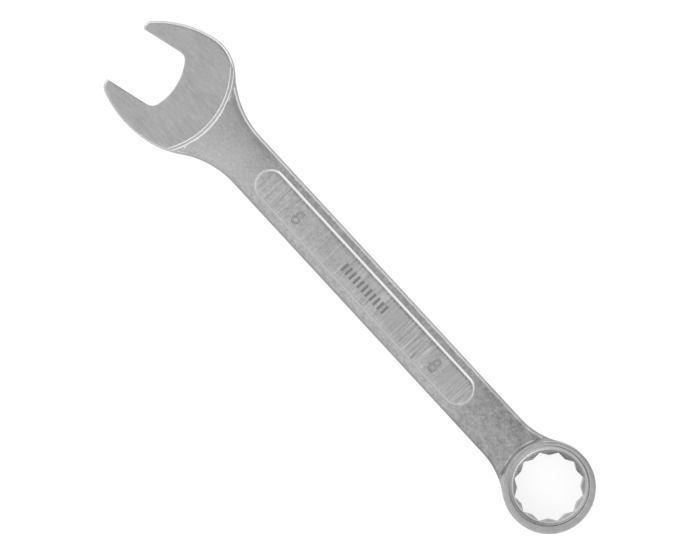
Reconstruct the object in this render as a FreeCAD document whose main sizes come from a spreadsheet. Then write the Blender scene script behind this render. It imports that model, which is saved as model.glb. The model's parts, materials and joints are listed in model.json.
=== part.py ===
"""A small 8 mm combination wrench: an open end and a twelve-point ring on one crowned shank.

The wrench lies flat. +X runs from the ring to the open end, +Z is up out of the front face, and the
origin is the centre of the ring's hole, halfway through its thickness. "Left" is the +Y side.
"""
import FreeCAD, Part

import math
import os

import Sketcher

V = FreeCAD.Vector
Z_AXIS = V(0, 0, 1)
START, END, CENTRE = 1, 2, 3  # the points of a line or an arc, as sketch constraints number them
ORIGIN = (-1, 1)  # a sketch's own origin, as a (geometry, point) pair
STANDING = FreeCAD.Rotation(V(1, 1, 1), 120)  # lays a sketch in the YZ plane, with its normal along +X

SIZES = [
    # alias, millimetres or degrees, what it is
    ("across_flats", 8.1, "width of the jaw and of each hexagon in the ring: 8 mm and its clearance"),
    ("ring_radius", 6.12, "outside of the ring"),
    ("ring_thickness", 5.5, "ring, face to face"),
    ("ring_rounding", 0.25, "rounding of the ring's two outer edges"),
    ("ring_turn", 2.5, "degrees from +X to the ring's first corner"),
    ("sink_radius", 5.39, "countersink of the ring's hole, at each face"),
    ("sink_x", 0.2, "middle of the countersink, off the hole's own middle towards the shank"),
    ("sink_y", -0.13, "the same, across the shank"),
    ("sink_depth", 0.9, "how far the countersink goes in"),
    ("sink_small_radius", 4.0, "countersink at its bottom, inside the points"),
    ("shank_half_width", 3.38, "shank, centre to edge"),
    ("shank_thickness", 3.2, "shank at the top of its crown"),
    ("shank_edge_thickness", 2.5, "shank at its two edges"),
    ("ring_blend", 10.0, "concave blend from the ring to the shank"),
    ("flare_left", 12.1, "concave flare from the shank to the head, +Y side"),
    ("flare_right", 12.5, "the same on the -Y side"),
    ("jaw_x", 75.7, "middle of the nut in the open end"),
    ("jaw_y", 1.4, "the same, across the shank"),
    ("jaw_lean", 15.0, "degrees from +X to the direction of the open end, towards +Y"),
    ("jaw_reach", 3.75, "from the middle of the nut to the jaw tips"),
    ("throat_setback", 4.48, "from the middle of the nut back to the bottom of the throat"),
    ("throat_radius", 7.65, "shallow arc across the bottom of the throat"),
    ("throat_corner", 1.3, "rounding between the throat and each jaw face"),
    ("widest_setback", 5.3, "from the middle of the nut back to where the head is widest"),
    ("head_left", 8.12, "jaw axis to the head's outside, +Y side"),
    ("head_right", 8.0, "the same on the -Y side"),
    ("cheek_left", 15.4, "arc of the outside of the jaw, +Y side"),
    ("cheek_right", 14.3, "the same on the -Y side"),
    ("shoulder_left", 11.6, "arc from the flare round to the jaw, +Y side"),
    ("shoulder_right", 5.9, "the same on the -Y side"),
    ("head_thickness", 4.0, "flat faces of the open end"),
    ("head_face_radius", 11.25, "round step where those flat faces end, about the middle of the nut"),
    ("head_rounding", 0.4, "rounding of the open end's outer edges"),
    ("panel_start", 15.1, "ring end of the raised panels"),
    ("panel_end", 55.8, "open end of the raised panels"),
    ("panel_half_width", 2.25, "raised panel, centre to edge"),
    ("panel_thickness", 3.7, "shank from the top of one raised panel to the top of the other"),
    ("numeral_near", 21.8, "middle of the size numeral by the ring"),
    ("numeral_far", 48.0, "middle of the size numeral by the open end"),
    ("numeral_depth", 0.12, "how deep a numeral is stamped into the panel"),
    ("numeral_stroke", 0.3, "width of the numeral's line"),
    ("numeral_big_loop", 0.46, "lower loop of the 8, to the middle of its line"),
    ("numeral_small_loop", 0.38, "upper loop of the 8, to the middle of its line"),
    ("mark_start", 31.5, "middle of the first printed bar"),
    ("mark_pitch", 0.76, "from one printed bar to the next"),
    ("mark_count", 11, "printed bars in the row"),
    ("mark_bar_width", 0.36, "one printed bar, along the shank"),
    ("mark_bar_length", 1.3, "one printed bar, across the shank"),
    ("mark_offset", 0.13, "middle of the bars and of the numerals, towards +Y"),
    ("mark_thickness", 0.03, "the layer of ink"),
    ("blank_margin", 4.0, "how far a cutting or trimming body runs past what it trims"),
]


def make_sheet(doc):
    """The driving dimensions, one row each: name, value, meaning."""
    sheet = doc.addObject("Spreadsheet::Sheet", "Sizes")
    for row, (alias, value, meaning) in enumerate(SIZES, start=1):
        sheet.set(f"A{row}", alias)
        sheet.set(f"B{row}", str(value))
        sheet.setAlias(f"B{row}", alias)
        sheet.set(f"C{row}", meaning)
    doc.recompute()
    return sheet


def bind(item, formulas):
    """Tie an object's properties to the sheet."""
    for prop, formula in formulas.items():
        item.setExpression(prop, formula)


class Profile:
    """A sketch whose lines and arcs are named, and whose sizes are tied to the sheet."""

    def __init__(self, doc, name, rotation=None):
        self.sketch = doc.addObject("Sketcher::SketchObject", name)
        if rotation:
            self.sketch.Placement.Rotation = rotation
        self.index = {}

    def line(self, name, start, end, construction=False):
        edge = Part.LineSegment(V(*start), V(*end))
        self.index[name] = self.sketch.addGeometry(edge, construction)

    def arc(self, name, centre, radius, start_degrees, end_degrees):
        circle = Part.Circle(V(*centre), Z_AXIS, radius)
        edge = Part.ArcOfCircle(circle, math.radians(start_degrees), math.radians(end_degrees))
        self.index[name] = self.sketch.addGeometry(edge, False)

    def point(self, name, place):
        self.index[name] = self.sketch.addGeometry(Part.Point(V(*place)), True)

    def rule(self, kind, *items):
        """A constraint between named edges; a bare number is a point of the edge before it."""
        numbers = [self.index[item] if isinstance(item, str) else item for item in items]
        return self.sketch.addConstraint(Sketcher.Constraint(kind, *numbers))

    def size(self, label, formula, kind, *items):
        """A measured constraint, named and tied to the sheet. Its last item is a starting value."""
        self.sketch.renameConstraint(self.rule(kind, *items), label)
        self.sketch.setExpression(f"Constraints.{label}", formula)


def plan_outline(doc, size):
    """The wrench seen from above, with the jaw's mouth still closed by a straight line."""
    plan = Profile(doc, "PlanOutline")
    ring, half, blend = size("ring_radius"), size("shank_half_width"), size("ring_blend")
    lean = size("jaw_lean")
    turned = FreeCAD.Rotation(Z_AXIS, lean)
    along, across = turned.multVec(V(1, 0, 0)), turned.multVec(V(0, 1, 0))
    nut = V(size("jaw_x"), size("jaw_y"))
    widest = nut - along * size("widest_setback")
    mouth = nut + along * size("jaw_reach")

    # the ring, and the two blends that touch both it and the shank's straight edges
    blend_x = math.sqrt((ring + blend) ** 2 - (half + blend) ** 2)
    touch = math.degrees(math.atan2(half + blend, blend_x))
    plan.arc("ring", (0, 0), ring, touch, 360 - touch)
    plan.arc("blend_left", (blend_x, half + blend), blend, 180 + touch, 270)
    plan.arc("blend_right", (blend_x, -half - blend), blend, 90, 180 - touch)

    # the axis of the jaw, and the line across the head where it is widest
    plan.line("jaw_axis", widest, mouth, construction=True)
    plan.point("nut", nut)
    left, right = widest + across * size("head_left"), widest - across * size("head_right")
    plan.line("widest", right, left, construction=True)

    # each side runs from the shank through a flare, a shoulder and a cheek to the jaw's tip;
    # the cheek and the shoulder meet, both square to the widest line, where the head is widest
    reach = size("widest_setback") + size("jaw_reach")
    for side, edge, turn in (("left", left, 1), ("right", right, -1)):
        cheek, shoulder, flare = (size(f"{name}_{side}") for name in ("cheek", "shoulder", "flare"))
        widest_angle = lean + 90 * turn
        tip_angle = lean + math.degrees(math.acos(reach / cheek)) * turn
        plan.arc(f"cheek_{side}", edge - across * cheek * turn, cheek, *sorted((tip_angle, widest_angle)))

        # the flare touches the shank's straight edge and the shoulder
        shoulder_centre = edge - across * shoulder * turn
        rise = half + flare - shoulder_centre.y * turn
        run = math.sqrt((flare + shoulder) ** 2 - rise**2)
        swing = math.degrees(math.atan2(run, rise))
        flare_angles = sorted((-90 * turn, (swing - 90) * turn))
        shoulder_angles = sorted((widest_angle, (swing + 90) * turn))
        flare_centre = V(shoulder_centre.x - run, (half + flare) * turn)
        plan.arc(f"flare_{side}", flare_centre, flare, *flare_angles)
        plan.arc(f"shoulder_{side}", shoulder_centre, shoulder, *shoulder_angles)
        plan.line(f"edge_{side}", (blend_x, half * turn), (flare_centre.x, half * turn))
    plan.line("mouth", mouth - across * size("across_flats") / 2, mouth + across * size("across_flats") / 2)

    # joints between neighbours, smooth everywhere but at the two jaw tips
    plan.rule("Tangent", "ring", START, "blend_left", START)
    plan.rule("Tangent", "ring", END, "blend_right", END)
    plan.rule("Tangent", "blend_left", END, "edge_left", START)
    plan.rule("Tangent", "blend_right", START, "edge_right", START)
    plan.rule("Tangent", "edge_left", END, "flare_left", START)
    plan.rule("Tangent", "edge_right", END, "flare_right", END)
    plan.rule("Tangent", "flare_left", END, "shoulder_left", END)
    plan.rule("Tangent", "flare_right", START, "shoulder_right", START)
    plan.rule("Tangent", "shoulder_left", START, "cheek_left", END)
    plan.rule("Tangent", "shoulder_right", END, "cheek_right", START)
    plan.rule("Coincident", "cheek_left", START, "mouth", END)
    plan.rule("Coincident", "cheek_right", END, "mouth", START)
    plan.rule("Coincident", "ring", CENTRE, *ORIGIN)
    plan.rule("Horizontal", "edge_left")
    plan.rule("Horizontal", "edge_right")
    plan.rule("PointOnObject", "nut", START, "jaw_axis")
    plan.rule("PointOnObject", "jaw_axis", START, "widest")
    plan.rule("PointOnObject", "jaw_axis", END, "mouth")
    plan.rule("Perpendicular", "jaw_axis", "widest")
    plan.rule("Perpendicular", "jaw_axis", "mouth")
    plan.rule("Coincident", "cheek_left", END, "widest", END)
    plan.rule("Coincident", "cheek_right", START, "widest", START)
    plan.rule("PointOnObject", "cheek_left", CENTRE, "widest")
    plan.rule("PointOnObject", "cheek_right", CENTRE, "widest")

    # the sizes
    plan.size("ring_radius", "Sizes.ring_radius", "Radius", "ring", ring)
    plan.size("half_left", "Sizes.shank_half_width", "DistanceY", *ORIGIN, "edge_left", START, half)
    plan.size("half_right", "Sizes.shank_half_width", "DistanceY", "edge_right", START, *ORIGIN, half)
    for side in ("left", "right"):
        plan.size(f"blend_{side}", "Sizes.ring_blend", "Radius", f"blend_{side}", blend)
        for name in ("flare", "shoulder", "cheek"):
            label = f"{name}_{side}"
            plan.size(label, f"Sizes.{label}", "Radius", label, size(label))
    plan.size("nut_x", "Sizes.jaw_x", "DistanceX", *ORIGIN, "nut", START, size("jaw_x"))
    plan.size("nut_y", "Sizes.jaw_y", "DistanceY", *ORIGIN, "nut", START, size("jaw_y"))
    plan.size("lean", "Sizes.jaw_lean", "Angle", "jaw_axis", math.radians(lean))
    plan.size("setback", "Sizes.widest_setback", "Distance",
              "jaw_axis", START, "nut", START, size("widest_setback"))
    plan.size("reach", "Sizes.jaw_reach", "Distance",
              "nut", START, "jaw_axis", END, size("jaw_reach"))
    plan.size("head_left", "Sizes.head_left", "Distance",
              "jaw_axis", START, "widest", END, size("head_left"))
    plan.size("head_right", "Sizes.head_right", "Distance",
              "jaw_axis", START, "widest", START, size("head_right"))
    return plan.sketch


def shank_section(doc, size):
    """The shank cut across: crowned top and bottom, with level wings under the two heads."""
    section = Profile(doc, "ShankSection", STANDING)
    half = size("shank_half_width")
    crown, edge = size("shank_thickness") / 2, size("shank_edge_thickness") / 2
    wing = size("head_left") + size("blank_margin")
    rise = crown - edge
    radius = (half**2 + rise**2) / (2 * rise)
    swing = math.degrees(math.asin(half / radius))
    section.arc("top", (0, crown - radius), radius, 90 - swing, 90 + swing)
    section.line("top_left", (-half, edge), (-wing, edge))
    section.line("left", (-wing, edge), (-wing, -edge))
    section.line("bottom_left", (-wing, -edge), (-half, -edge))
    section.arc("bottom", (0, radius - crown), radius, 270 - swing, 270 + swing)
    section.line("bottom_right", (half, -edge), (wing, -edge))
    section.line("right", (wing, -edge), (wing, edge))
    section.line("top_right", (wing, edge), (half, edge))

    order = ["top_left", "left", "bottom_left", "bottom", "bottom_right", "right", "top_right", "top"]
    for here, after in zip(order, order[1:] + order[:1]):
        section.rule("Coincident", here, END, after, START)
    for name in ("top_left", "top_right", "bottom_left", "bottom_right"):
        section.rule("Horizontal", name)
    section.rule("Vertical", "left")
    section.rule("Vertical", "right")
    section.rule("Horizontal", "top", START, "top", END)
    section.rule("Symmetric", "top", START, "bottom", END, -1)
    section.rule("Symmetric", "top", END, "bottom", START, -1)
    section.rule("Equal", "top", "bottom")
    section.rule("Equal", "top_left", "top_right")
    section.size("half_right", "Sizes.shank_half_width", "DistanceX", *ORIGIN, "top", START, half)
    section.size("half_left", "Sizes.shank_half_width", "DistanceX", "top", END, *ORIGIN, half)
    section.size("edge", "Sizes.shank_edge_thickness / 2", "DistanceY", *ORIGIN, "top", START, edge)
    section.size("wing", "Sizes.head_left + Sizes.blank_margin", "DistanceX",
                 *ORIGIN, "right", START, wing)
    section.point("crown", (0, crown))
    section.rule("PointOnObject", "crown", START, -2)
    section.rule("PointOnObject", "crown", START, "top")
    section.size("crown", "Sizes.shank_thickness / 2", "DistanceY", *ORIGIN, "crown", START, crown)
    return section.sketch


def ring_section(doc, size):
    """Half of the ring's blank, cut from its axis to its rounded outside. It stands in the XZ plane."""
    section = Profile(doc, "RingSection", FreeCAD.Rotation(V(1, 0, 0), 90))
    out, half, rounding = size("ring_radius"), size("ring_thickness") / 2, size("ring_rounding")
    section.line("axis", (0, half), (0, -half))
    section.line("bottom", (0, -half), (out - rounding, -half))
    section.arc("low_edge", (out - rounding, rounding - half), rounding, -90, 0)
    section.line("outside", (out, rounding - half), (out, half - rounding))
    section.arc("high_edge", (out - rounding, half - rounding), rounding, 0, 90)
    section.line("top", (out - rounding, half), (0, half))

    section.rule("Coincident", "axis", END, "bottom", START)
    section.rule("Coincident", "top", END, "axis", START)
    for here, after in (("bottom", "low_edge"), ("low_edge", "outside"),
                        ("outside", "high_edge"), ("high_edge", "top")):
        section.rule("Tangent", here, END, after, START)
    section.rule("Vertical", "axis")
    section.rule("Vertical", "outside")
    section.rule("Horizontal", "bottom")
    section.rule("Horizontal", "top")
    section.rule("Equal", "low_edge", "high_edge")
    section.rule("Symmetric", "axis", START, "axis", END, *ORIGIN)
    section.size("out", "Sizes.ring_radius", "DistanceX", *ORIGIN, "outside", START, out)
    section.size("half", "Sizes.ring_thickness / 2", "DistanceY", *ORIGIN, "axis", START, half)
    section.size("rounding", "Sizes.ring_rounding", "Radius", "low_edge", rounding)
    return section.sketch


def jaw_slot(doc, size):
    """What is cut out between the jaws, with the nut's middle as the sketch's origin."""
    slot = Profile(doc, "JawSlot")
    bind(slot.sketch, {
        "Placement.Base.x": "Sizes.jaw_x",
        "Placement.Base.y": "Sizes.jaw_y",
        "Placement.Rotation.Angle": "Sizes.jaw_lean",
    })
    face, mouth = size("across_flats") / 2, size("jaw_reach") + size("blank_margin")
    bottom, radius, corner = size("throat_setback"), size("throat_radius"), size("throat_corner")
    middle = radius - bottom
    corner_y = face - corner
    swing = math.degrees(math.asin(corner_y / (radius - corner)))
    corner_x = middle - math.sqrt((radius - corner) ** 2 - corner_y**2)
    slot.line("mouth", (mouth, -face), (mouth, face))
    slot.line("left_face", (mouth, face), (corner_x, face))
    slot.arc("left_corner", (corner_x, corner_y), corner, 90, 180 - swing)
    slot.arc("throat", (middle, 0), radius, 180 - swing, 180 + swing)
    slot.arc("right_corner", (corner_x, -corner_y), corner, 180 + swing, 270)
    slot.line("right_face", (corner_x, -face), (mouth, -face))

    slot.rule("Coincident", "mouth", END, "left_face", START)
    slot.rule("Coincident", "right_face", END, "mouth", START)
    for here, after in (("left_face", "left_corner"), ("left_corner", "throat"),
                        ("throat", "right_corner"), ("right_corner", "right_face")):
        slot.rule("Tangent", here, END, after, START)
    slot.rule("Vertical", "mouth")
    slot.rule("Horizontal", "left_face")
    slot.rule("Horizontal", "right_face")
    slot.rule("PointOnObject", "throat", CENTRE, -1)
    slot.rule("Equal", "left_corner", "right_corner")
    slot.size("face_left", "Sizes.across_flats / 2", "DistanceY", *ORIGIN, "mouth", END, face)
    slot.size("face_right", "Sizes.across_flats / 2", "DistanceY", "mouth", START, *ORIGIN, face)
    slot.size("mouth_x", "Sizes.jaw_reach + Sizes.blank_margin", "DistanceX",
              *ORIGIN, "mouth", END, mouth)
    slot.size("throat_radius", "Sizes.throat_radius", "Radius", "throat", radius)
    slot.size("throat_middle", "Sizes.throat_radius - Sizes.throat_setback", "DistanceX",
              *ORIGIN, "throat", CENTRE, middle)
    slot.size("corner", "Sizes.throat_corner", "Radius", "left_corner", corner)
    return slot.sketch


def panel_outline(doc, size):
    """A raised panel seen from above: a long bar with round ends."""
    panel = Profile(doc, "PanelOutline")
    half = size("panel_half_width")
    near, far = size("panel_start") + half, size("panel_end") - half
    panel.line("right", (near, -half), (far, -half))
    panel.arc("far_end", (far, 0), half, -90, 90)
    panel.line("left", (far, half), (near, half))
    panel.arc("near_end", (near, 0), half, 90, 270)
    order = ["right", "far_end", "left", "near_end"]
    for here, after in zip(order, order[1:] + order[:1]):
        panel.rule("Tangent", here, END, after, START)
    panel.rule("Horizontal", "right")
    panel.rule("PointOnObject", "near_end", CENTRE, -1)
    panel.rule("PointOnObject", "far_end", CENTRE, -1)
    panel.size("half", "Sizes.panel_half_width", "Radius", "far_end", half)
    panel.size("near", "Sizes.panel_start + Sizes.panel_half_width", "DistanceX",
               *ORIGIN, "near_end", CENTRE, near)
    panel.size("far", "Sizes.panel_end - Sizes.panel_half_width", "DistanceX",
               *ORIGIN, "far_end", CENTRE, far)
    return panel.sketch


def extrude(doc, name, sketch, formulas, symmetric=False):
    """A solid swept from a sketch along its normal."""
    solid = doc.addObject("Part::Extrusion", name)
    solid.Base = sketch
    solid.DirMode = "Normal"
    solid.Solid = True
    solid.Symmetric = symmetric
    bind(solid, formulas)
    return solid


def combine(doc, kind, name, *items):
    """Part::Cut and Part::Common take two objects; Part::MultiFuse takes any number."""
    result = doc.addObject(kind, name)
    if kind == "Part::MultiFuse":
        result.Shapes = list(items)
    else:
        result.Base, result.Tool = items
    return result


def rounded_head(doc, size, outline_prism):
    """The open end's thick plate: the outline inside a round step, with its outer edges rounded."""
    disc = doc.addObject("Part::Cylinder", "HeadDisc")
    bind(disc, {
        "Radius": "Sizes.head_face_radius",
        "Height": "Sizes.head_thickness",
        "Placement.Base.x": "Sizes.jaw_x",
        "Placement.Base.y": "Sizes.jaw_y",
        "Placement.Base.z": "-Sizes.head_thickness / 2",
    })
    plate = combine(doc, "Part::Common", "HeadPlate", outline_prism, disc)
    doc.recompute()
    face_height = size("head_thickness") / 2
    rounding = size("head_rounding")
    rim = [
        number
        for number, edge in enumerate(plate.Shape.Edges, start=1)
        if abs(abs(edge.CenterOfMass.z) - face_height) < 1e-6
    ]
    head = doc.addObject("Part::Fillet", "HeadBlank")
    head.Base = plate
    head.Edges = [(number, rounding, rounding) for number in rim]
    return head


def ring_hole(doc):
    """The twelve-point hole: two hexagons a twelfth of a turn apart, and a countersink at each face."""
    cutters = []
    for number in (0, 1):
        hexagon = doc.addObject("Part::Prism", f"Hexagon{number + 1}")
        hexagon.Polygon = 6
        bind(hexagon, {
            "Circumradius": "Sizes.across_flats / 2 / cos(30)",
            "Height": "Sizes.ring_thickness + Sizes.blank_margin",
            "Placement.Base.z": "-(Sizes.ring_thickness + Sizes.blank_margin) / 2",
            "Placement.Rotation.Angle": f"Sizes.ring_turn + {30 * number}",
        })
        cutters.append(hexagon)
    for name, turn in (("FrontSink", 180), ("BackSink", 0)):
        sink = doc.addObject("Part::Cone", name)
        sink.Placement.Rotation = FreeCAD.Rotation(V(1, 0, 0), turn)
        side = "" if turn else "-"
        bind(sink, {
            "Radius1": "Sizes.sink_radius",
            "Radius2": "Sizes.sink_small_radius",
            "Height": "Sizes.sink_depth",
            "Placement.Base.x": "Sizes.sink_x",
            "Placement.Base.y": "Sizes.sink_y",
            "Placement.Base.z": f"{side}Sizes.ring_thickness / 2",
        })
        cutters.append(sink)
    return cutters


def numerals(doc):
    """The 8 stamped near each end of each panel: a large loop and a small one, each a round groove."""
    loops = []
    stroke = "Sizes.numeral_stroke / 2"
    panel_top = "Sizes.panel_thickness / 2"
    for face, bottom in (("Front", f"{panel_top} - Sizes.numeral_depth"), ("Back", f"-{panel_top}")):
        for place in ("near", "far"):
            for loop, side in (("big", 1), ("small", -1)):
                # the two loops share the stroke where they touch, and the 8 stands on the +Y side
                radius = f"Sizes.numeral_{loop}_loop"
                name = f"{face}{place.title()}{loop.title()}"
                discs = []
                for edge, change in (("Outer", "+"), ("Inner", "-")):
                    disc = doc.addObject("Part::Cylinder", name + edge)
                    bind(disc, {
                        "Radius": f"{radius} {change} {stroke}",
                        "Height": "Sizes.numeral_depth",
                        "Placement.Base.x": f"Sizes.numeral_{place}",
                        "Placement.Base.y": f"Sizes.mark_offset + {side} * {radius}",
                        "Placement.Base.z": bottom,
                    })
                    discs.append(disc)
                loops.append(combine(doc, "Part::Cut", name + "Loop", *discs))
    return loops


def make_forging(doc, size):
    """The steel body: one forging with a raised panel on each face, the jaw and the ring's hole cut
    through it, and the size stamped into the panels."""
    outline = plan_outline(doc, size)
    prism = extrude(doc, "OutlinePrism", outline,
                    {"LengthFwd": "Sizes.ring_thickness + Sizes.blank_margin"}, symmetric=True)
    bar = extrude(doc, "CrownedBar", shank_section(doc, size), {
        "LengthFwd": "Sizes.jaw_x + Sizes.head_face_radius",
    })
    shank = combine(doc, "Part::Common", "ShankBlank", prism, bar)
    head = rounded_head(doc, size, prism)
    ring = doc.addObject("Part::Revolution", "RingBlank")
    ring.Source = ring_section(doc, size)
    ring.Axis = Z_AXIS
    ring.Angle = 360
    ring.Solid = True
    panels = extrude(doc, "Panels", panel_outline(doc, size),
                     {"LengthFwd": "Sizes.panel_thickness"}, symmetric=True)
    blank = combine(doc, "Part::MultiFuse", "ForgingBlank", shank, head, ring, panels)

    slot = extrude(doc, "JawCutter", jaw_slot(doc, size),
                   {"LengthFwd": "Sizes.head_thickness + Sizes.blank_margin"}, symmetric=True)
    cutters = combine(doc, "Part::MultiFuse", "Cutters", slot, *ring_hole(doc), *numerals(doc))
    forging = combine(doc, "Part::Cut", "WrenchForging", blank, cutters)
    forging.Label = "wrench_forging"
    return forging


def make_mark(doc, size):
    """The printed mark: a row of plain upright bars of ink on top of the front panel."""
    body = doc.addObject("PartDesign::Body", "PrintedMark")
    body.Label = "printed_mark"
    plane = next(item for item in body.Origin.OriginFeatures if item.Role == "XY_Plane")
    sketch = body.newObject("Sketcher::SketchObject", "MarkBar")
    sketch.AttachmentSupport = (plane, [""])
    sketch.MapMode = "FlatFace"
    bind(sketch, {"AttachmentOffset.Base.z": "Sizes.panel_thickness / 2"})
    width, length = size("mark_bar_width"), size("mark_bar_length")
    left, low = size("mark_start") - width / 2, size("mark_offset") - length / 2
    right, high = left + width, low + length
    corners = [V(left, low), V(right, low), V(right, high), V(left, high)]
    for start, end in zip(corners, corners[1:] + corners[:1]):
        sketch.addGeometry(Part.LineSegment(start, end), False)
    for edge in range(4):
        sketch.addConstraint(Sketcher.Constraint("Coincident", edge, END, (edge + 1) % 4, START))
        direction = "Vertical" if edge % 2 else "Horizontal"
        sketch.addConstraint(Sketcher.Constraint(direction, edge))
    for label, kind, items, formula in (
        ("left", "DistanceX", (*ORIGIN, 0, START, left), "Sizes.mark_start - Sizes.mark_bar_width / 2"),
        ("width", "DistanceX", (0, START, 0, END, width), "Sizes.mark_bar_width"),
        ("low", "DistanceY", (0, START, *ORIGIN, -low), "Sizes.mark_bar_length / 2 - Sizes.mark_offset"),
        ("length", "DistanceY", (1, START, 1, END, length), "Sizes.mark_bar_length"),
    ):
        sketch.renameConstraint(sketch.addConstraint(Sketcher.Constraint(kind, *items)), label)
        sketch.setExpression(f"Constraints.{label}", formula)
    bar = body.newObject("PartDesign::Pad", "MarkBarPad")
    bar.Profile = sketch
    bind(bar, {"Length": "Sizes.mark_thickness"})
    doc.recompute()
    row = body.newObject("PartDesign::LinearPattern", "MarkRow")
    row.Originals = [bar]
    row.Direction = (sketch, ["H_Axis"])
    bind(row, {
        "Length": "Sizes.mark_pitch * (Sizes.mark_count - 1)",
        "Occurrences": "Sizes.mark_count",
    })
    body.Tip = row
    return body


def check(doc, parts):
    """Stop before anything is written if an object failed or a sub-part isn't sound."""
    for item in doc.Objects:
        bad = [state for state in item.State if state in ("Invalid", "Error")]
        if bad:
            raise RuntimeError(f"{item.Name} is {bad}: {item.getStatusString()}")
    for part in parts:
        if part.Shape.isNull() or not part.Shape.isValid():
            raise RuntimeError(f"{part.Label} has no valid shape")
    for item in doc.findObjects("Sketcher::SketchObject"):
        if not item.FullyConstrained:
            print(f"{item.Name} isn't fully constrained")


def main():
    doc = FreeCAD.newDocument("CombinationWrench")
    sheet = make_sheet(doc)
    size = sheet.get
    parts = [make_forging(doc, size), make_mark(doc, size)]
    doc.recompute()
    check(doc, parts)
    os.makedirs("parts", exist_ok=True)
    for part in parts:
        part.Shape.exportStep(f"parts/{part.Label}.step")
        box = part.Shape.BoundBox
        print(f"{part.Label}: {len(part.Shape.Solids)} solids, {part.Shape.Volume:.2f} mm3, "
              f"x {box.XMin:.2f}..{box.XMax:.2f}, y {box.YMin:.2f}..{box.YMax:.2f}, "
              f"z {box.ZMin:.2f}..{box.ZMax:.2f}")


main()
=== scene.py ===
"""The looks of the small 8 mm combination wrench: a chromed forging with a printed mark.

Shapes are worked out in millimetres, in the frame's axes: +X from the ring to the open end, +Z out of
the front face, and the origin in the middle of the ring's hole. "Left" is the +Y side, and where a name
says turn, 1 is the left side and -1 the right. Angles are in radians, anticlockwise from +X.
"""

import json
import math
from collections import namedtuple

import bpy
import numpy as np
from mathutils import Matrix, Vector
from mathutils.geometry import delaunay_2d_cdt


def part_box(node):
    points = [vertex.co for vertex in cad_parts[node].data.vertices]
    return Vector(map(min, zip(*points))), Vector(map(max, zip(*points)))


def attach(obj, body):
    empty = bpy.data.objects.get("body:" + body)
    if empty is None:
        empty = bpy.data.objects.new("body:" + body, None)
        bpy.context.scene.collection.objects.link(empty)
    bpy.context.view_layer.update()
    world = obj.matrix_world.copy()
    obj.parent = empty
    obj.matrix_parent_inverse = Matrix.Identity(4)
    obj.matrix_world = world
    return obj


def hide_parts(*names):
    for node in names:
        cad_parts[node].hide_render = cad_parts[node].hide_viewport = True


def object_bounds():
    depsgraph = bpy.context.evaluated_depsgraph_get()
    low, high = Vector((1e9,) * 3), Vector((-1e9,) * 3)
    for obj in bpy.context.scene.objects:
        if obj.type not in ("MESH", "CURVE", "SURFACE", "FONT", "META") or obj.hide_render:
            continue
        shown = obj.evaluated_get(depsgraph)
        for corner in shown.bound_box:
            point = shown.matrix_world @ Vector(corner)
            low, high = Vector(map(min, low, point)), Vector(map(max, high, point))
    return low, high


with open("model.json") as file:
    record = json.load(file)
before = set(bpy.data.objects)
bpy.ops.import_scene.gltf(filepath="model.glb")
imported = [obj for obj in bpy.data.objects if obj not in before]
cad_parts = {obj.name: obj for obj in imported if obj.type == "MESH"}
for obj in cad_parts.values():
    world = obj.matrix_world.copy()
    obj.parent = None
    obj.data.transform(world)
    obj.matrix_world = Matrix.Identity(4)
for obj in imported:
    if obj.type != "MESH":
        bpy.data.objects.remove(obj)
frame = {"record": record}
cad_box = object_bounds()

MM = 0.001
QUARTER = math.pi / 2

# ---- sizes read from the frame ----
mounts = {mount["name"]: mount for mount in frame["record"]["mounts"]}
forging_low, forging_high = (Vector(corner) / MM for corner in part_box("wrench_forging"))
mark_low, mark_high = (Vector(corner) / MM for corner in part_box("printed_mark"))
nut = np.array(mounts["open_jaw"]["pos_m"][:2]) / MM
jaw_axis = np.array(mounts["open_jaw"]["axis"][:2])
jaw_across = np.array((-jaw_axis[1], jaw_axis[0]))
jaw_lean = math.atan2(jaw_axis[1], jaw_axis[0])
RING_RADIUS = -forging_low.x
RING_TOP = forging_high.z
HEAD_TOP = mounts["head_face_front"]["pos_m"][2] / MM
PANEL_TOP = mark_low.z

# ---- the forging's other sizes, in millimetres, which are the part's own ----
ACROSS_FLATS = 8.1
RING_POINTS = 12
RING_TURN = math.radians(2.5)
CORNER_OUT = ACROSS_FLATS / 2 / math.cos(math.pi / 6)
CORNER_IN = ACROSS_FLATS / 2 / math.cos(math.pi / RING_POINTS)
SINK_CENTRE, SINK_RADIUS = (0.2, -0.13), 5.39
SHANK_HALF, SHANK_TOP, SHANK_EDGE = 3.38, 1.6, 1.25
RING_BLEND = 10.0
HEAD_SETBACK = 5.3
THROAT_SETBACK, THROAT_RADIUS, THROAT_CORNER = 4.48, 7.65, 1.3
PANEL_START, PANEL_END, PANEL_HALF = 15.1, 55.8, 2.25
NUMERALS, NUMERAL_Y = (21.8, 48.0), 0.13
NUMERAL_LOOPS = {1: 0.46, -1: 0.38}
NUMERAL_DEPTH = 0.12
SIDES = {
    # turn: half width of the head, a hair less than the part's, and the cheek's, shoulder's and flare's radii
    1: (8.118, 15.4, 11.6, 12.1),
    -1: (7.995, 14.3, 5.9, 12.5),
}

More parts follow.
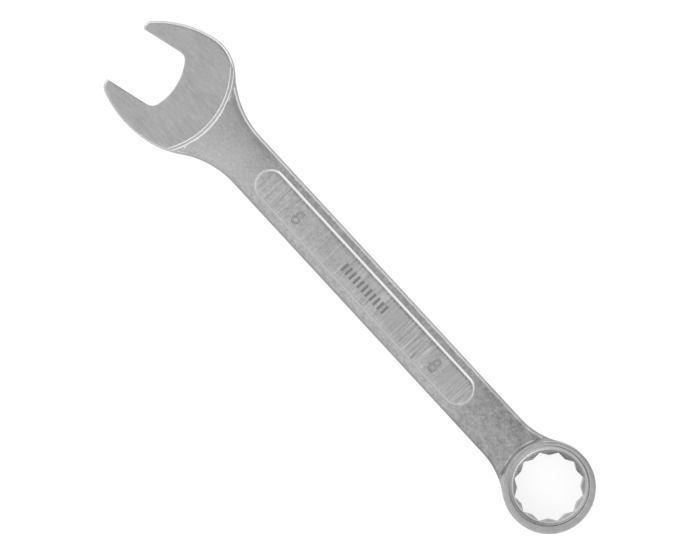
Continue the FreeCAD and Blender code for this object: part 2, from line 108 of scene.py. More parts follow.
# ---- shapes that are finer than the part's, in millimetres ----
JAW_REACH = {1: 3.93, -1: 3.63}  # the left jaw is a little longer than the right
NOSE_CHEEK, NOSE_FACE = 0.6, 0.22  # how far the rounding of a jaw's nose runs up its cheek and its face
NOSE_STEPS = 10  # straight pieces round it
NUMERAL_HALF_STROKE, NUMERAL_WALL = 0.18, 0.15
SINK_STEPS = (
    # radius and depth: the ends of the teeth, a bevel, a shallow cone, a short steep wall and the lip
    (3.9, 1.21),
    (4.76, 0.44),
    (4.86, 0.36),
    (5.12, 0.32),
    (5.3, 0.03),
    (SINK_RADIUS, 0.0),
)
TOOTH_RADIUS = SINK_STEPS[1][0]
HEAD_FACE_RADIUS = 10.95
HEAD_STEP = (
    # depth in from the face's edge, and fall below it: a steep side, a bevel, a narrow ledge and a bevel
    (-1.3, 2.6),
    (-0.42, 0.32),
    (-0.3, 0.2),
    (0.0, 0.12),
    (0.12, 0.0),
)

# ---- soft edges, in millimetres: each has a gentle roll, which drops a little, and then a bevel ----
Edge = namedtuple("Edge", "roll_width roll_drop bevel_width bevel_slope")
RING_EDGE = Edge(0.4, 0.04, 0.07, 0.9)
SHANK_ROLL = Edge(1.0, 0.17, 0.22, 1.0)
HEAD_EDGE = Edge(0.5, 0.04, 0.24, 0.9)
JAW_EDGE = Edge(0.16, 0.01, 0.06, 1.0)
PANEL_EDGE = Edge(0.9, 0.03, 0.44, 0.88)
BEVEL_SOFTNESS = 0.07
WALL_SLOPE = 3.5  # of the side of the ring and of the panel
RING_FOOT, HEAD_FOOT, PANEL_FOOT = 0.15, 0.08, 0.03  # softness where each of the steps up meets the shank
RING_DRAFT, SHANK_DRAFT, HEAD_DRAFT = 0.04, 0.07, 0.15  # how far the sides lean in towards each face
RING_FACE_RADIUS = RING_RADIUS - RING_DRAFT
DRAFTS = (
    # distance from the middle of the ring, and the draft there
    (RING_RADIUS, RING_DRAFT),
    (RING_RADIUS + 3, SHANK_DRAFT),
    (PANEL_END + 4, SHANK_DRAFT),
    (PANEL_END + 10, HEAD_DRAFT),
)

# ---- where the kinds of surface start and end, in millimetres ----
GROUND_INSET = 0.1  # from the head's step to the grinding of its flat face
BRUSH_INSET = (0.3, 0.5)  # from the panel's edge to where the brushing starts, and to where it is full
BRUSH_FADE = ((PANEL_START + 8, PANEL_END - 8), (1.0, 0.5))  # the brushing is stronger towards the ring
NUMERAL_CLEARING, LEAST_BRUSH = 0.7, 0.2  # the stamping has pressed the brushing nearly flat
FORGED_FADE = (PANEL_START + 2, PANEL_START - 1)  # the dark scale by the ring
FORGED_GAP = 0.2  # from the side of the ring to that scale
SMOOTH_FADE = (PANEL_END - 3, PANEL_END + 3)  # the fainter grain by the head
POLISHED = (0.86, 0.76)  # how upright the surface is where its polish starts, and where it is full
SHARP_ANGLE = math.radians(38)

# ---- spacing of the mesh's points, in millimetres ----
EDGE_STEP = 0.2
FIELD_STEP = 0.3
NUMERAL_STEP = 0.048
NUMERAL_REACH = np.array((0.75, 1.1))  # half the size of the fine patch on each numeral
CLOSEST = 0.032  # from one kept point to the next
SAME_POINT = 1e-7  # points closer than this would be joined
FIELD_ROOM, FIELD_GAP = FIELD_STEP * 0.4, FIELD_STEP * 0.55  # from the even field to the outline and the rows
FEATURE_ROOM = 0.012  # from the outline to the rows that follow it
CREASE_ROOM = 0.04  # from the outline to the end of a crease
ROW_SWING = (math.pi * 0.75, math.pi * 1.25)  # round the nut, along the head's step
CREASE_SWING = (math.pi * 0.7, math.pi * 1.3)  # the same, past the outline at both ends
EDGE_ROWS = (0.015, 0.05, 0.1, 0.17, 0.26, 0.37, 0.5, 0.66)
RING_ROWS = (0.4, 0.28, 0.18, 0.1, 0.04, 0, -0.015, -0.05, -0.1, -0.17, -0.27, -0.4)
HEAD_ROWS = (-0.17, -0.12, -0.08, -0.04, 0, 0.04, 0.1, 0.18,
             0.26, 0.3, 0.34, 0.38, 0.42, 0.46, 0.53, 0.62)
PANEL_ROWS = (-0.14, -0.07, -0.02, 0.0, 0.012, 0.04, 0.09, 0.16, 0.25, 0.34, 0.44)
SINK_ROW = 0.06  # to a row on each side of a bend in the countersink
BLOCK = 2000  # points measured at one time, to spare memory


def spaced(length):
    """How many steps a run of this length takes."""
    return max(2, math.ceil(length / EDGE_STEP))


def arc(centre, radius, start, end):
    """Points round an arc, from one angle to the other, without its last point."""
    angles = np.linspace(start, end, spaced(abs(end - start) * radius), endpoint=False)
    return np.array(centre) + radius * np.column_stack((np.cos(angles), np.sin(angles)))


def circle(centre, radius):
    """Points all the way round."""
    return arc(centre, radius, 0, 2 * math.pi)


def line(start, end):
    """Points along a straight run, without its last point."""
    share = np.linspace(0, 1, spaced(math.dist(start, end)), endpoint=False)[:, None]
    return np.array(start) * (1 - share) + np.array(end) * share


def fade(value, start, end):
    """A share that goes from 0 to 1 as a value goes from start to end."""
    return np.clip((value - start) / (end - start), 0, 1)


# ---- the outline, seen from the front ----
def ring_side(turn):
    """One side of the wrench from the back of the ring to the end of its blend."""
    centre = (blend_x, (SHANK_HALF + RING_BLEND) * turn)
    return [
        arc((0, 0), RING_RADIUS, math.pi * turn, blend_touch * turn),
        arc(centre, RING_BLEND, (blend_touch + math.pi) * turn, 1.5 * math.pi * turn),
    ]


def head_side(turn):
    """One side of the wrench from the end of the ring's blend to the jaw's tip."""
    half_width, cheek, shoulder, flare = SIDES[turn]
    across = jaw_across * turn
    edge = nut - jaw_axis * HEAD_SETBACK + across * half_width
    shoulder_centre = edge - across * shoulder
    rise = SHANK_HALF + flare - shoulder_centre[1] * turn
    run = math.sqrt((flare + shoulder) ** 2 - rise**2)
    swing = math.atan2(run, rise)
    flare_centre = (shoulder_centre[0] - run, (SHANK_HALF + flare) * turn)
    tip = jaw_lean + math.acos((HEAD_SETBACK + JAW_REACH[turn]) / cheek) * turn
    return [
        line((blend_x, SHANK_HALF * turn), (flare_centre[0], SHANK_HALF * turn)),
        arc(flare_centre, flare, -QUARTER * turn, (swing - QUARTER) * turn),
        arc(shoulder_centre, shoulder, (swing + QUARTER) * turn, jaw_lean + QUARTER * turn),
        arc(edge - across * cheek, cheek, jaw_lean + QUARTER * turn, tip),
    ]


def jaw():
    """The slot from the left tip round the throat to the right tip."""
    face = ACROSS_FLATS / 2
    middle = THROAT_RADIUS - THROAT_SETBACK
    corner_y = face - THROAT_CORNER
    swing = math.asin(corner_y / (THROAT_RADIUS - THROAT_CORNER))
    corner_x = middle - math.cos(swing) * (THROAT_RADIUS - THROAT_CORNER)
    back = jaw_lean + math.pi

    def place(x, y):
        return nut + jaw_axis * x + jaw_across * y

    return [
        line(place(JAW_REACH[1], face), place(corner_x, face)),
        arc(place(corner_x, corner_y), THROAT_CORNER, jaw_lean + QUARTER, back - swing),
        arc(place(middle, 0), THROAT_RADIUS, back - swing, back + swing),
        arc(place(corner_x, -corner_y), THROAT_CORNER, back + swing, back + QUARTER),
        line(place(corner_x, -face), place(JAW_REACH[-1], -face)),
    ]


def nose(cheek, face):
    """Rounds off a jaw's nose. The cheek ends there and the jaw's face starts there."""
    corners = cheek[-1], face[0]
    cheek = cheek[np.linalg.norm(cheek - corners[0], axis=1) > NOSE_CHEEK]
    face = face[np.linalg.norm(face - corners[1], axis=1) > NOSE_FACE]
    share = np.linspace(0, 1, NOSE_STEPS + 1)[1:-1, None]
    rest = 1 - share
    curve = cheek[-1] * rest**3 + face[0] * share**3
    curve += 3 * share * rest * (corners[0] * rest + corners[1] * share)
    return cheek, curve, face


def star():
    """The ring's hole: two hexagons, a twelfth of a turn apart, as one loop."""
    corners = []
    for number in range(2 * RING_POINTS):
        angle = RING_TURN + number * math.pi / RING_POINTS
        radius = CORNER_IN if number % 2 else CORNER_OUT
        corners.append((radius * math.cos(angle), radius * math.sin(angle)))
    return np.concatenate([line(here, after) for here, after in zip(corners, corners[1:] + corners[:1])])


def normals(loop):
    """The inward normal at each point of an anticlockwise loop, lengthened at corners."""
    forward = np.roll(loop, -1, axis=0) - loop
    forward /= np.linalg.norm(forward, axis=1)[:, None]
    inward = np.column_stack((-forward[:, 1], forward[:, 0]))
    joint = inward + np.roll(inward, 1, axis=0)
    return 2 * joint / (joint**2).sum(axis=1)[:, None]


def distance(path, points, closed=False):
    """How far each point is from a run of straight pieces."""
    start = path if closed else path[:-1]
    span = np.roll(path, -1, axis=0) - path if closed else path[1:] - path[:-1]
    length_squared = (span**2).sum(axis=1)
    nearest = np.empty(len(points))
    for first in range(0, len(points), BLOCK):
        block = points[first:first + BLOCK, None, :] - start
        share = np.clip((block * span).sum(axis=2) / length_squared, 0, 1)
        gap = block - share[..., None] * span
        nearest[first:first + BLOCK] = np.sqrt((gap**2).sum(axis=2).min(axis=1))
    return nearest


def inside(loop, points):
    """Which points a closed loop goes round."""
    after = np.roll(loop, -1, axis=0)
    result = np.zeros(len(points), dtype=bool)
    for first in range(0, len(points), BLOCK):
        block = points[first:first + BLOCK]
        x, y = block[:, 0, None], block[:, 1, None]
        crosses = (loop[:, 1] > y) != (after[:, 1] > y)
        with np.errstate(divide="ignore", invalid="ignore"):
            at = loop[:, 0] + (y - loop[:, 1]) * (after[:, 0] - loop[:, 0]) / (after[:, 1] - loop[:, 1])
        result[first:first + BLOCK] = (crosses & (x < at)).sum(axis=1) % 2 == 1
    return result


# one loop round the outside and the jaw, and one round the ring's hole
blend_x = math.sqrt((RING_RADIUS + RING_BLEND) ** 2 - (SHANK_HALF + RING_BLEND) ** 2)
blend_touch = math.atan2(SHANK_HALF + RING_BLEND, blend_x)
slot = np.concatenate(jaw())
left_side, left_nose, slot = nose(np.concatenate(ring_side(1) + head_side(1)), slot)
right_side, right_nose, slot = nose(np.concatenate(ring_side(-1) + head_side(-1)), slot[::-1])
outside = np.concatenate((left_nose[::-1], left_side[::-1], right_side[1:], right_nose))
outline = np.concatenate((outside, slot))
hole = star()

# the same outside loop at the faces, where the sides have leaned in
lean_in = np.interp(np.linalg.norm(outline, axis=1), *np.transpose(DRAFTS))
lean_in[len(outside):] = 0  # the jaw's faces are cut square
face_loop = outline + normals(outline) * lean_in[:, None]
face_outside = face_loop[:len(outside)]
face_slot = face_loop[len(outside) - 1:]


# ---- the height of the front face above the middle plane; the back is its mirror ----
def highest(first, second, softness):
    """The higher of two surfaces, with a soft inside corner where they cross."""
    overlap = np.maximum(softness - abs(first - second), 0)
    return np.maximum(first, second) + overlap**2 / (4 * softness)


def fall(depth, edge):
    """How far a soft edge has fallen below its face, at a depth in from the edge."""
    rolled = edge.roll_drop * np.clip(1 - depth / edge.roll_width, 0, 1) ** 2
    softness = min(BEVEL_SOFTNESS, edge.bevel_width * edge.bevel_slope)
    bevel = highest(0, edge.bevel_slope * (edge.bevel_width - np.maximum(depth, 0)), softness)
    return rolled + bevel + WALL_SLOPE * np.maximum(-depth, 0)


def panel_depth(points):
    """How far in from the raised panel's edge."""
    along = np.clip(points[:, 0], PANEL_START + PANEL_HALF, PANEL_END - PANEL_HALF)
    return PANEL_HALF - np.hypot(points[:, 0] - along, points[:, 1])


def head_depth(points):
    """How far in from the round step at the back of the head's flat face."""
    return HEAD_FACE_RADIUS - np.linalg.norm(points - nut, axis=1)


def sink_distance(points):
    """How far from the countersink's middle."""
    return np.linalg.norm(points - SINK_CENTRE, axis=1)


def numeral_groove(points):
    """How deep the stamped 8s are."""
    depth = np.zeros(len(points))
    for x in NUMERALS:
        for turn, radius in NUMERAL_LOOPS.items():
            away = np.hypot(points[:, 0] - x, points[:, 1] - NUMERAL_Y - turn * radius) - radius
            share = np.clip((NUMERAL_HALF_STROKE - abs(away)) / NUMERAL_WALL, 0, 1)
            depth = np.maximum(depth, NUMERAL_DEPTH * share**2 * (3 - 2 * share))
    return depth


def across_shank(points):
    """Where points are across the shank: 0 on its middle line, and 1 and -1 at its edges."""
    start, end = blend_x * 0.5, PANEL_END + 8  # past these the crown keeps its width
    x = np.clip(points[:, 0], start, end)
    edges = []
    for turn in (1, -1):
        edge = face_outside[(face_outside[:, 1] * turn > 0) & (face_outside[:, 0] > 0)]
        edge = edge[edge[:, 0] < end + 1]
        edges.append(np.interp(x, *edge[::-turn].T))
    high, low = edges
    return np.clip((2 * points[:, 1] - high - low) / (high - low), -1, 1)


def heights(points):
    """The front face: the highest of shank, panel, head and ring, less what is cut into it."""
    side = distance(face_outside, points)
    crown = (SHANK_TOP - SHANK_EDGE) * (1 - across_shank(points) ** 2)
    height = SHANK_EDGE + crown - fall(side, SHANK_ROLL)

    panel = PANEL_TOP - fall(panel_depth(points), PANEL_EDGE)
    height = highest(height, panel, PANEL_FOOT)

    rim = np.maximum(fall(side, HEAD_EDGE), fall(distance(face_slot, points), JAW_EDGE))
    step = np.interp(head_depth(points), *np.transpose(HEAD_STEP))
    height = highest(height, HEAD_TOP - np.maximum(rim, step), HEAD_FOOT)

    ring = RING_TOP - fall(RING_FACE_RADIUS - np.linalg.norm(points, axis=1), RING_EDGE)
    height = highest(height, ring, RING_FOOT)

    sink = sink_distance(points)
    height = np.where(sink < SINK_RADIUS, RING_TOP - np.interp(sink, *np.transpose(SINK_STEPS)), height)
    return height - numeral_groove(points)


def kinds(points):
    """How far the surface is of each kind, from 0 to 1, for the steel's material; two of the masks only say
    where shade is painted into its colour.
    """
    x, y = points.T
    ring_distance, sink = np.linalg.norm(points, axis=1), sink_distance(points)
    machined = sink < SINK_RADIUS
    brushed = fade(panel_depth(points), *BRUSH_INSET) * np.interp(x, *BRUSH_FADE)
    for middle in NUMERALS:
        brushed *= np.clip(np.hypot(x - middle, y - NUMERAL_Y) - NUMERAL_CLEARING, LEAST_BRUSH, 1)
    return {
        "ground": np.where(ring_distance < RING_RADIUS, ~machined, head_depth(points) > GROUND_INSET),
        "brushed": brushed,
        # where the stamped 8s are sunk: painted shade, darker the deeper the groove
        "painted_groove_shade": numeral_groove(points) / NUMERAL_DEPTH,
        "forged": fade(x, *FORGED_FADE) * (ring_distance > RING_RADIUS + FORGED_GAP),
        "smooth": fade(x, *SMOOTH_FADE),
        "machined": machined,
        # the ends of the ring's teeth: painted shade, much darker there
        "painted_teeth_shade": sink < TOOTH_RADIUS,
    }


# ---- the points of the mesh, and its triangles ----
def thinned(points, kept, gap):
    """Adds to the kept points those that have none of them within the gap."""
    cells = {}
    for x, y in kept:
        cells.setdefault((int(x // gap), int(y // gap)), []).append((x, y))
    for x, y in points.tolist():
        column, row = int(x // gap), int(y // gap)
        near = (
            (x - px) ** 2 + (y - py) ** 2 < gap * gap
            for i in (column - 1, column, column + 1)
            for j in (row - 1, row, row + 1)
            for px, py in cells.get((i, j), ())
        )
        if not any(near):
            cells.setdefault((column, row), []).append((x, y))
            kept.append((x, y))


def grid(low, high, step):
    """Points in rows, each row half a step along from the last."""
    rows = np.arange(low[1], high[1], step * math.sqrt(3) / 2)
    columns = np.arange(low[0], high[0], step)
    x, y = np.meshgrid(columns, rows)
    x[::2] += step / 2
    return np.column_stack((x.ravel(), y.ravel()))


def panel_row(depth):
    """Points round the panel, at a depth in from its edge."""
    radius = PANEL_HALF - depth
    ends = PANEL_START + PANEL_HALF, PANEL_END - PANEL_HALF
    row = [arc((x, 0), radius, middle - QUARTER, middle + QUARTER) for x, middle in zip(ends, (math.pi, 0))]
    row += [line((ends[0], y), (ends[1], y)) for y in (radius, -radius)]
    return row


def feature_points():
    """Points along every edge, step and rounding, so that the mesh follows them."""
    inward = normals(face_loop)
    found = [face_loop + inward * depth for depth in EDGE_ROWS]
    swing = blend_touch * 1.1  # a little past where the blends touch the ring
    found += [arc((0, 0), RING_FACE_RADIUS + away, -swing, swing) for away in RING_ROWS]
    for away in HEAD_ROWS:
        found.append(arc(nut, HEAD_FACE_RADIUS + away, *ROW_SWING))
    for radius, _ in SINK_STEPS[1:]:
        found += [circle(SINK_CENTRE, radius + away) for away in (0, -SINK_ROW, SINK_ROW)]
    for depth in PANEL_ROWS:
        found += panel_row(depth)
    for x in NUMERALS:
        found.append(grid((x, NUMERAL_Y) - NUMERAL_REACH, (x, NUMERAL_Y) + NUMERAL_REACH, NUMERAL_STEP))
    return np.concatenate(found)


def allowed(points, room):
    """The points inside the plan and at least this far from its loops."""
    points = points[inside(face_loop, points) & ~inside(hole, points)]
    clear = (distance(face_loop, points, closed=True) > room) & (distance(hole, points, closed=True) > room)
    return points[clear]


def creases():
    """Whole circles, then open arcs, along the surface's sharpest bends, to become edges of the mesh."""
    clear = CORNER_OUT + math.hypot(*SINK_CENTRE)
    circles = [circle(SINK_CENTRE, radius) for radius, _ in SINK_STEPS if radius > clear]
    steps = [arc(nut, HEAD_FACE_RADIUS - depth, *CREASE_SWING) for depth, _ in HEAD_STEP[1:]]
    return circles, [allowed(step, CREASE_ROOM) for step in steps]


def plan_mesh():
    """All the points of one face, its triangles, and the loops of its two boundaries."""
    circles, arcs = creases()
    runs = [face_loop, hole, *circles, *arcs]
    kept = np.concatenate(runs).tolist()
    thinned(allowed(feature_points(), FEATURE_ROOM), kept, CLOSEST)
    field = grid(outline.min(axis=0), outline.max(axis=0), FIELD_STEP)
    thinned(allowed(field, FIELD_ROOM), kept, FIELD_GAP)

    starts = np.cumsum([0] + [len(run) for run in runs]).tolist()
    chains = [range(start, end) for start, end in zip(starts, starts[1:])]
    edges = [edge for chain in chains for edge in zip(chain, chain[1:])]
    edges += [(chain[-1], chain[0]) for chain in chains[:2 + len(circles)]]
    found, _, faces, *_ = delaunay_2d_cdt([Vector(point) for point in kept], edges, [], 0, SAME_POINT)
    if len(found) != len(kept):
        raise RuntimeError("two points of the plan fell together")

    points, faces = np.array(kept), np.array(faces)
    middles = points[faces].mean(axis=1)
    faces = faces[inside(face_loop, middles) & ~inside(hole, middles)]
    return points, faces, chains[:2]


def add_mask(mesh, name, values):
    """Stores a share for each point of a mesh, for its material to read."""
    layer = mesh.attributes.new(name, "FLOAT", "POINT")
    layer.data.foreach_set("value", values.astype(np.float32))


def make_forging():
    """The steel body: the front face, its mirror at the back, and the walls between them."""
    points, triangles, (outer, inner) = plan_mesh()
    count = len(points)
    front = np.column_stack((points, heights(points)))
    back = front * (1, 1, -1)
    boundary = np.concatenate((outline, hole))
    middle = np.column_stack((boundary, np.zeros(len(boundary))))

    faces = triangles.tolist() + (triangles[:, ::-1] + count).tolist()
    outer_edges = zip(outer, [*outer[1:], outer[0]])
    inner_edges = zip([*inner[1:], inner[0]], inner)  # the other way, as the hole's wall faces inwards
    for here, after in [*outer_edges, *inner_edges]:
        middle_here, middle_after = here + 2 * count, after + 2 * count
        faces.append([here, middle_here, middle_after, after])
        faces.append([middle_here, here + count, after + count, middle_after])
    mesh = bpy.data.meshes.new("forging")
    mesh.from_pydata((np.concatenate((front, back, middle)) * MM).tolist(), [], faces)

    unmarked = np.zeros(len(middle))
    for name, mask in kinds(points).items():
        add_mask(mesh, name, np.concatenate((mask, mask, unmarked)))
    upright = np.abs([normal.vector.z for normal in mesh.vertex_normals])
    add_mask(mesh, "polished", np.concatenate((fade(upright[:2 * count], *POLISHED), unmarked)))
    mesh.shade_smooth()
    mesh.set_sharp_from_angle(angle=SHARP_ANGLE)
    mesh.update()
    return bpy.data.objects.new("forging", mesh)


# ---- the printed mark ----
BAR_COUNT = 11
BAR_WIDTH, BAR_CORNER, BAR_RIM = 0.36, 0.09, 0.012
BAR_CORNER_STEPS = 6


def bar_loop(x, inset, z):
    """A rectangle with round corners about one bar's middle, at a height."""
    middle_y, half_length = (mark_low.y + mark_high.y) / 2, (mark_high.y - mark_low.y) / 2
    radius = BAR_CORNER - inset
    loop = []
    for quarter, (side_x, side_y) in enumerate(((1, 1), (-1, 1), (-1, -1), (1, -1))):
        corner_x = x + side_x * (BAR_WIDTH / 2 - BAR_CORNER)
        corner_y = middle_y + side_y * (half_length - BAR_CORNER)
        for step in range(BAR_CORNER_STEPS + 1):
            angle = (quarter + step / BAR_CORNER_STEPS) * QUARTER
            loop.append((corner_x + radius * math.cos(angle), corner_y + radius * math.sin(angle), z))
    return loop


def make_mark():
    """The row of plain printed bars, each a thin layer of ink with round corners and a soft rim."""
    base, top = mark_low.z, mark_high.z
    levels = ((0, base), (0, base + (top - base) * 0.6), (BAR_RIM, top))
    vertices, faces = [], []
    for x in np.linspace(mark_low.x + BAR_WIDTH / 2, mark_high.x - BAR_WIDTH / 2, BAR_COUNT):
        loops = []
        for inset, z in levels:
            loop = bar_loop(x, inset, z)
            loops.append(list(range(len(vertices), len(vertices) + len(loop))))
            vertices += loop
        for low, high in zip(loops, loops[1:]):
            low_after, high_after = low[1:] + low[:1], high[1:] + high[:1]
            faces += zip(low, low_after, high_after, high)
        faces += [loops[0][::-1], loops[-1]]
    mesh = bpy.data.meshes.new("mark_bars")
    mesh.from_pydata([Vector(vertex) * MM for vertex in vertices], [], faces)
    mesh.update()
    return bpy.data.objects.new("mark_bars", mesh)


# ---- materials ----
NOISE_RANGE = (0.3, 0.7)  # where nearly all of a noise's values are
STEEL_TONE = 0.55
INK_TONE = (0.2, 0.28)
FLOOR_TONE, FLOOR_GLOW = (0.62, 0.64), 0.72


class Nodes:
    """A short way to write a material's nodes."""

    def __init__(self, name):
        self.material = bpy.data.materials.new(name)
        self.material.use_nodes = True
        self.tree = self.material.node_tree
        self.shader = self.tree.nodes["Principled BSDF"]

    def add(self, kind, inputs=None, **settings):
        """A node with its settings and its inputs, each a value or another node's output."""
        node = self.tree.nodes.new(f"ShaderNode{kind}")
        for name, value in settings.items():
            setattr(node, name, value)
        for name, value in (inputs or {}).items():
            self.put(node.inputs[name], value)
        return node

    def put(self, socket, value):
        """Sets a socket to a value, or joins it to another node's output."""
        if isinstance(value, bpy.types.NodeSocket):
            self.tree.links.new(value, socket)
        else:
            socket.default_value = value

    def shade(self, **inputs):
        """Sets the shader's own inputs, with _ in place of a space."""
        for name, value in inputs.items():
            self.put(self.shader.inputs[name.replace("_", " ")], value)

    def math(self, operation, first, second=0.0):
        return self.add("Math", {0: first, 1: second}, operation=operation).outputs[0]

    def product(self, *values):
        result = values[0]
        for value in values[1:]:
            result = self.math("MULTIPLY", result, value)
        return result

    def total(self, *values):
        result = values[0]
        for value in values[1:]:
            result = self.math("ADD", result, value)
        return result

    def noise(self, scale, detail=2.0, roughness=0.5):
        """Smooth random values from 0 to 1, with this many cycles to the millimetre, on all axes or each."""
        per_metre = Vector(np.broadcast_to(scale, 3) / MM)
        at = self.add("TexCoord").outputs["Object"]
        place = self.add("Mapping", {"Vector": at, "Scale": per_metre}).outputs["Vector"]
        inputs = {"Vector": place, "Scale": 1.0, "Detail": detail, "Roughness": roughness}
        return self.add("TexNoise", inputs).outputs["Fac"]

    def ramp(self, value, low, high, to_low=0.0, to_high=1.0):
        """A value carried from one range into another, and held at its ends."""
        inputs = {"Value": value, "From Min": low, "From Max": high, "To Min": to_low, "To Max": to_high}
        return self.add("MapRange", inputs).outputs["Result"]

    def spread(self, noise, low, high):
        """A noise that runs from low to high."""
        return self.ramp(noise, *NOISE_RANGE, low, high)

    def mix(self, share, first, second):
        return self.add("Mix", {"Factor": share, 2: first, 3: second}, data_type="FLOAT").outputs[0]

    def layers(self, value, *above):
        """A value, and over it, in turn, each layer's own value where that layer's mask is 1."""
        for mask, over in above:
            value = self.mix(mask, value, over)
        return value

    def mask(self, name):
        return self.add("Attribute", attribute_name=name, attribute_type="GEOMETRY").outputs["Fac"]

    def grey(self, value):
        return self.add("CombineColor", {"Red": value, "Green": value, "Blue": value}).outputs["Color"]

    def bump(self, *heights_mm):
        """The normal of a surface with these heights, in millimetres, added up."""
        inputs = {"Strength": 1.0, "Distance": MM, "Height": self.total(*heights_mm)}
        return self.add("Bump", inputs).outputs["Normal"]


def satin_chrome():
    """Satin chrome over a blasted forging, with ground faces, a brushed panel and machined bores, and painted
    shade in the stamped 8s and on the ends of the ring's teeth.
    """
    nodes = Nodes("satin_chrome_steel")
    ground, brushed, polished = nodes.mask("ground"), nodes.mask("brushed"), nodes.mask("polished")
    forged, smooth, machined = nodes.mask("forged"), nodes.mask("smooth"), nodes.mask("machined")

    grain = nodes.noise(2.6, detail=5, roughness=0.7)
    pits = nodes.noise(1.1, detail=3, roughness=0.6)
    brush = nodes.noise((2.8, 0.14, 1), detail=5, roughness=0.75)
    passes = nodes.noise((0.35, 0.02, 0.1), detail=2)
    ground_lines = nodes.noise((0.4, 1.8, 2), detail=4, roughness=0.7)
    smudges = nodes.noise(0.25, detail=4, roughness=0.6)

    # how strong the blasted grain is: full on the shank, and faint where the steel was worked afterwards
    blasted = nodes.layers(1.0, (smooth, 0.5), (ground, 0.25), (brushed, 0.25), (polished, 0.2),
                           (machined, 0.25))
    # how strong the brushing is: its passes come and go
    streaked = nodes.math("MULTIPLY", brushed, nodes.ramp(passes, 0.35, 0.6, 0.35, 1.0))

    normal = nodes.bump(
        nodes.product(grain, blasted, 0.07),
        nodes.product(pits, blasted, nodes.mix(forged, 0.02, 0.06)),
        nodes.product(brush, streaked, 0.07),
        nodes.product(ground_lines, ground, 0.005),
    )
    roughness = nodes.total(
        nodes.layers(0.34, (ground, 0.28), (brushed, 0.26), (polished, 0.18), (machined, 0.15)),
        nodes.spread(smudges, -0.03, 0.03),
        nodes.product(nodes.spread(grain, -0.06, 0.06), blasted),
    )
    tone = nodes.product(
        STEEL_TONE,
        nodes.mix(blasted, 1.0, nodes.spread(grain, 0.72, 1.28)),
        nodes.mix(streaked, 1.0, nodes.spread(brush, 0.48, 1.52)),
        nodes.mix(ground, 1.0, nodes.spread(ground_lines, 0.84, 1.05)),
        # painted shade: the steel is darker in the stamped grooves
        nodes.mix(nodes.mask("painted_groove_shade"), 1.0, 0.84),
        # painted shade: the ends of the teeth in the ring's hole are darker
        nodes.mix(nodes.mask("painted_teeth_shade"), 1.0, 0.55),
        nodes.layers(1.0, (smooth, 1.05), (forged, nodes.spread(pits, 0.66, 0.93))),
        nodes.spread(smudges, 0.94, 1.05),
    )
    nodes.shade(Base_Color=nodes.grey(tone), Roughness=roughness, Normal=normal, Metallic=1.0)
    return nodes.material


def dark_ink():
    """Matt printed ink, a little uneven in tone, with a fine speckle in its surface."""
    nodes = Nodes("dark_ink")
    speckle = nodes.noise(5, detail=3)
    tone = nodes.ramp(speckle, 0.35, 0.75, *INK_TONE)
    normal = nodes.bump(nodes.math("MULTIPLY", speckle, 0.003))
    nodes.shade(Base_Color=nodes.grey(tone), Roughness=nodes.spread(speckle, 0.5, 0.65), Normal=normal)
    return nodes.material


def pale_floor():
    """A matt off-white table with a little light of its own."""
    nodes = Nodes("pale_floor")
    cloud = nodes.noise(0.003)
    nodes.shade(Base_Color=nodes.grey(nodes.spread(cloud, *FLOOR_TONE)), Roughness=0.9,
                Specular_IOR_Level=0.1, Emission_Color=(1, 1, 1, 1), Emission_Strength=FLOOR_GLOW)
    return nodes.material


# ---- the pieces ----
def show(piece, material, node):
    """Puts a piece in the scene in place of its CAD node."""
    bpy.context.scene.collection.objects.link(piece)
    piece.data.materials.append(material)
    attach(piece, "root")
    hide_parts(node)


show(make_forging(), satin_chrome(), "wrench_forging")
show(make_mark(), dark_ink(), "printed_mark")

# ---- the floor, a hair below the wrench ----
WRENCH_LENGTH = cad_box[1][0] - cad_box[0][0]
FLOOR_REACH = WRENCH_LENGTH * 20
FLOOR_Z = cad_box[0][2] - 0.00001

floor_mesh = bpy.data.meshes.new("floor")
floor_corners = [(x * FLOOR_REACH, y * FLOOR_REACH, FLOOR_Z) for x, y in ((-1, -1), (1, -1), (1, 1), (-1, 1))]
floor_mesh.from_pydata(floor_corners, [], [(0, 1, 2, 3)])
floor_mesh.materials.append(pale_floor())
floor = bpy.data.objects.new("floor", floor_mesh)
bpy.context.scene.collection.objects.link(floor)
floor.visible_glossy = False  # the steel reflects the dome, not the lit table

# ---- light: a soft studio dome, dimmer overhead and from below than near the horizon ----
OVERHEAD = 0.82  # brightness straight up
LOW = 1.3  # brightness near the horizon
UNDER = 0.55  # brightness from below, where polished steel reflects the table
TILT = math.radians(35)
GLOWS = (
    # which way, how sharp, and how strong: below 0 it is a patch of dark
    ((0, -math.sin(TILT), math.cos(TILT)), 9, -0.56),
    ((0, math.sin(TILT), math.cos(TILT)), 8, 0.1),
    ((0, 1, 0), 3, -0.36),
    ((0, -1, 0), 8, 0.4),
    ((0, 0.6, -0.8), 3, 0.35),
    ((1, 0, 0), 4, 0.45),
    ((-1, 0, 0), 5, 0.9),
)


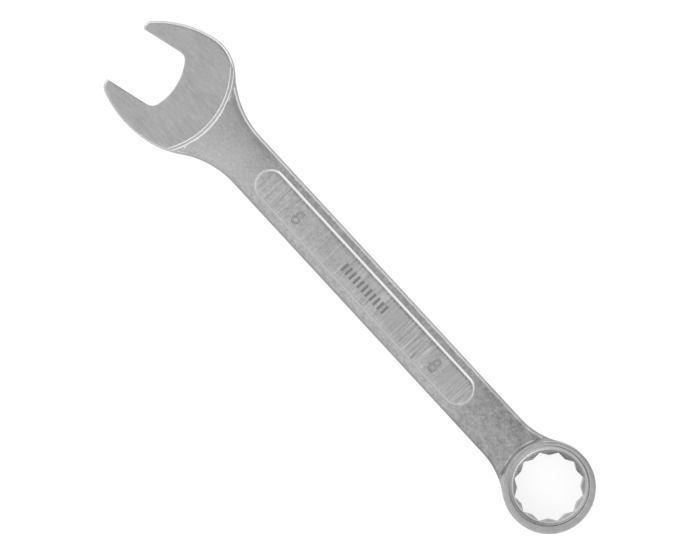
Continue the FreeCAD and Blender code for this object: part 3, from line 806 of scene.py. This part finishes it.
class LightNodes:
    """A short way to write the dome's brightness as a sum over directions."""

    def __init__(self, world):
        world.use_nodes = True
        self.tree = world.node_tree
        self.direction = self.tree.nodes.new("ShaderNodeTexCoord").outputs["Generated"]

    def apply(self, kind, operation, *inputs):
        """The result of an operation on its inputs, each a value or another node's output."""
        node = self.tree.nodes.new(f"ShaderNode{kind}")
        node.operation = operation
        for socket, value in zip(node.inputs, inputs):
            if isinstance(value, bpy.types.NodeSocket):
                self.tree.links.new(value, socket)
            else:
                socket.default_value = value
        return node.outputs["Value"]

    def math(self, operation, *inputs):
        return self.apply("Math", operation, *inputs)

    def along(self, target):
        """How far a direction points along another, from -1 to 1."""
        return self.apply("VectorMath", "DOT_PRODUCT", self.direction, Vector(target).normalized())

    def share(self, value, start, end):
        """A soft change from 0 to 1 as a value goes from start to end."""
        node = self.tree.nodes.new("ShaderNodeMapRange")
        node.interpolation_type = "SMOOTHSTEP"
        node.inputs["From Min"].default_value = start
        node.inputs["From Max"].default_value = end
        self.tree.links.new(value, node.inputs["Value"])
        return node.outputs["Result"]

    def glow(self, target, sharpness, strength):
        """A soft patch of light or, below 0, of dark."""
        facing = self.math("MAXIMUM", self.along(target), 0.0)
        return self.math("MULTIPLY", self.math("POWER", facing, sharpness), strength)


def studio_light():
    """The dome: three bands of brightness, one above another, and the patches on them."""
    world = bpy.data.worlds.new("studio")
    bpy.context.scene.world = world
    light = LightNodes(world)
    upward = light.along((0, 0, 1))
    above = light.math("MULTIPLY", light.share(upward, 0.42, 0.02), LOW - OVERHEAD)
    below = light.math("MULTIPLY", light.share(upward, -0.03, -0.4), UNDER - LOW)
    total = light.math("ADD", light.math("ADD", above, OVERHEAD), below)
    for glow in GLOWS:
        total = light.math("ADD", total, light.glow(*glow))
    background = light.tree.nodes["Background"]
    background.inputs["Color"].default_value = (1, 1, 1, 1)
    light.tree.links.new(total, background.inputs["Strength"])


studio_light()

# ---- the camera, straight above, with the shank running from lower right to upper left ----
SHANK_IN_PICTURE = math.radians(132.7)
PICTURE_SPAN = WRENCH_LENGTH * 1.054  # what the picture's width takes in
OFF_MIDDLE = Vector((0.0002, 0.0005, 0))  # from the middle of the wrench to the middle of the picture
AIM = (Vector(cad_box[0]) + Vector(cad_box[1])) / 2 + OFF_MIDDLE

camera_data = bpy.data.cameras.new("camera")
camera_data.sensor_width = 36
camera_data.lens = 260
CAMERA_HEIGHT = PICTURE_SPAN * camera_data.lens / camera_data.sensor_width
camera_data.clip_start = CAMERA_HEIGHT * 0.1
camera_data.clip_end = CAMERA_HEIGHT * 50
camera = bpy.data.objects.new("camera", camera_data)
above = Matrix.Translation(AIM + Vector((0, 0, CAMERA_HEIGHT)))
camera.matrix_world = above @ Matrix.Rotation(-SHANK_IN_PICTURE, 4, "Z")
bpy.context.scene.collection.objects.link(camera)
bpy.context.scene.camera = camera
bpy.context.scene.view_settings.view_transform = "Standard"
